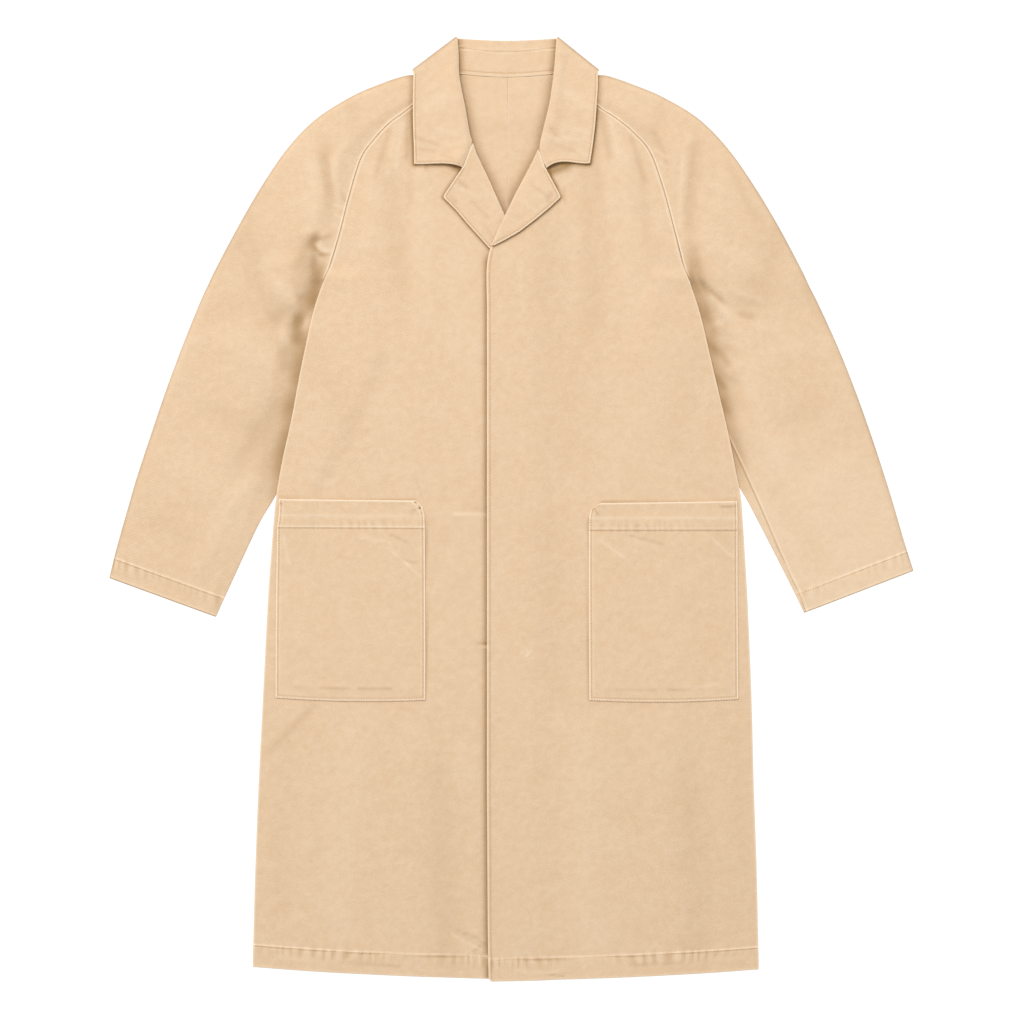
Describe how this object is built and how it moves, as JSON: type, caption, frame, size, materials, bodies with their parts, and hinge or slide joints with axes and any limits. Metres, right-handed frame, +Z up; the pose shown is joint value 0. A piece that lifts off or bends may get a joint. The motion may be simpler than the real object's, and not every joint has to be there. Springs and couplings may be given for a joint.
{
  "type": "duster coat",
  "caption": "Knee-length cotton duster coat laid flat on its back, raglan sleeves, turned collar and lapels, concealed front, large patch pockets",
  "frame": {"origin": "middle of the coat's footprint on the surface it lies on", "axes": "+X to the viewer's right across the coat as laid, +Y from the hem towards the collar, +Z up from the surface"},
  "size_m": [1.0042, 1.1786, 0.0134],
  "materials": {
    "cotton_twill": "washed sand-coloured cotton twill, matt, tone-on-tone topstitching"
  },
  "bodies": {
    "root": {"back_left": "cotton_twill", "back_right": "cotton_twill", "front_left": "cotton_twill", "front_right": "cotton_twill", "sleeve_left": "cotton_twill", "sleeve_right": "cotton_twill", "collar_fall": "cotton_twill", "collar_stand": "cotton_twill", "lapel_left": "cotton_twill", "lapel_right": "cotton_twill", "pocket_left": "cotton_twill", "pocket_right": "cotton_twill"}
  },
  "joints": []
}
